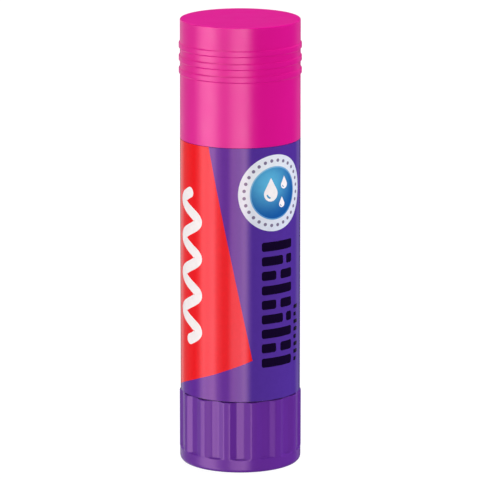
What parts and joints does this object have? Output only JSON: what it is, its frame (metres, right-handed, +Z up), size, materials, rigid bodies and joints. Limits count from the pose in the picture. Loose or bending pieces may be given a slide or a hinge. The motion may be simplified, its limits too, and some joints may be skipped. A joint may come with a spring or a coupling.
{
  "type": "glue stick",
  "caption": "Capped twist-up glue stick: turning the fluted base winds a screw that lifts the glue in its tube, and the ringed cap pulls off.",
  "frame": {"origin": "centre of the resting ring under the knob, on the surface the stick stands on", "axes": "+Z up along the stick's axis towards the cap, +X to the right and -Y towards the viewer of the label's front"},
  "size_m": [0.0274, 0.0274, 0.1012],
  "materials": {
    "cap_plastic": "satin moulded magenta polypropylene",
    "label_film": "glossy printed film, violet ground with a red panel",
    "casing_plastic": "satin moulded violet polypropylene",
    "tube_plastic": "natural white polypropylene",
    "knob_plastic": "satin moulded violet polypropylene",
    "spindle_plastic": "natural white moulded plastic",
    "piston_plastic": "natural white moulded plastic",
    "glue_solid": "waxy off-white glue"
  },
  "bodies": {
    "barrel": {"casing": "casing_plastic", "glue_tube": "tube_plastic", "label": "label_film"},
    "cap": {"cap": "cap_plastic"},
    "knob": {"knob": "knob_plastic", "spindle": "spindle_plastic"},
    "piston": {"piston": "piston_plastic", "glue": "glue_solid"}
  },
  "joints": [
    {"name": "cap_pull", "type": "slide", "parent": "barrel", "child": "cap", "axis": [0, 0, 1], "range_m": [0, 0.06]},
    {"name": "knob_turn", "type": "hinge", "parent": "barrel", "child": "knob", "pos_m": [0, 0, 0], "axis": [0, 0, 1], "range_deg": [0, 4680]},
    {"name": "piston_rise", "type": "slide", "parent": "barrel", "child": "piston", "axis": [0, 0, 1], "range_m": [0, 0.052], "deforming": ["glue"]}
  ],
  "couplings": [
    {"joint": "knob_turn", "follows": "piston_rise", "rad_per_m": 1570.8}
  ]
}
